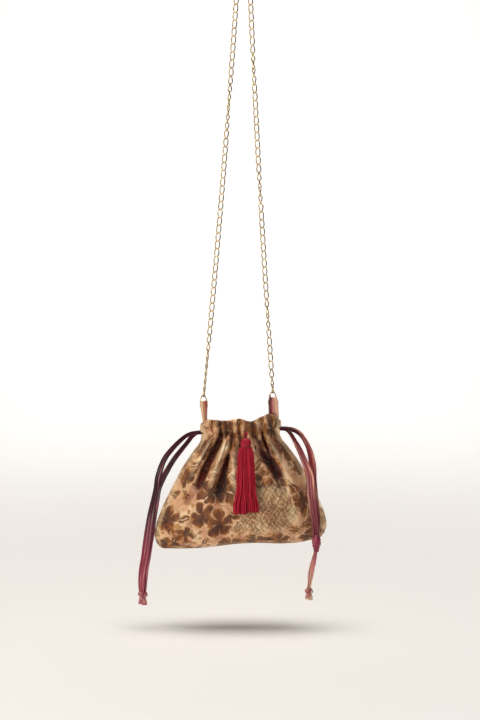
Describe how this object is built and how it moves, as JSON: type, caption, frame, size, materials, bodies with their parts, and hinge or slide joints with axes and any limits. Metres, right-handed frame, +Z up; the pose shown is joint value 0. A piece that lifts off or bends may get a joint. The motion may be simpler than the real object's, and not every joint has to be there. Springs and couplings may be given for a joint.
{
  "type": "drawstring pouch bag",
  "caption": "Gathered velvet drawstring pouch hung on a curb chain by ribbon tabs, with knotted ribbon drawstrings and a thread tassel.",
  "frame": {"origin": "the point where the chain strap hangs over a hook, in the middle of the top link", "axes": "+Z up along the hanging strap, -Y out of the front panel with the tassel, +X to the right seen from the front"},
  "size_m": [0.2201, 0.0838, 0.7614],
  "materials": {
    "velvet": "cut velvet on a satin ground",
    "maroon_ribbon": "satin ribbon",
    "pink_ribbon": "satin ribbon",
    "gilt_chain": "antique gold plate",
    "tassel_thread": "twisted rayon thread"
  },
  "bodies": {
    "chain": {"top_link": "gilt_chain", "left_chain": "gilt_chain", "right_chain": "gilt_chain", "left_end_ring": "gilt_chain", "right_end_ring": "gilt_chain"},
    "bag": {"front_panel": "velvet", "back_panel": "velvet", "left_tab": "pink_ribbon", "right_tab": "pink_ribbon", "left_drawstring_front": "maroon_ribbon", "left_drawstring_back": "maroon_ribbon", "left_end_knot": "pink_ribbon", "right_drawstring_front": "maroon_ribbon", "right_drawstring_back": "maroon_ribbon", "right_wrap_knot": "maroon_ribbon", "right_tail": "pink_ribbon", "right_end_knot": "pink_ribbon"},
    "tassel": {"tassel_loop": "tassel_thread", "tassel_head": "tassel_thread", "tassel_binding": "tassel_thread", "tassel_skirt": "tassel_thread"}
  },
  "joints": [
    {"name": "bag_swing", "type": "hinge", "parent": "chain", "child": "bag", "pos_m": [-0.0467, 0, -0.52035], "axis": [0.9985, 0, 0.0549], "range_deg": [-90, 90]},
    {"name": "tassel_swing", "type": "hinge", "parent": "bag", "child": "tassel", "pos_m": [0.002, -0.01115, -0.55437], "axis": [-1, 0, 0], "range_deg": [0, 80]}
  ]
}
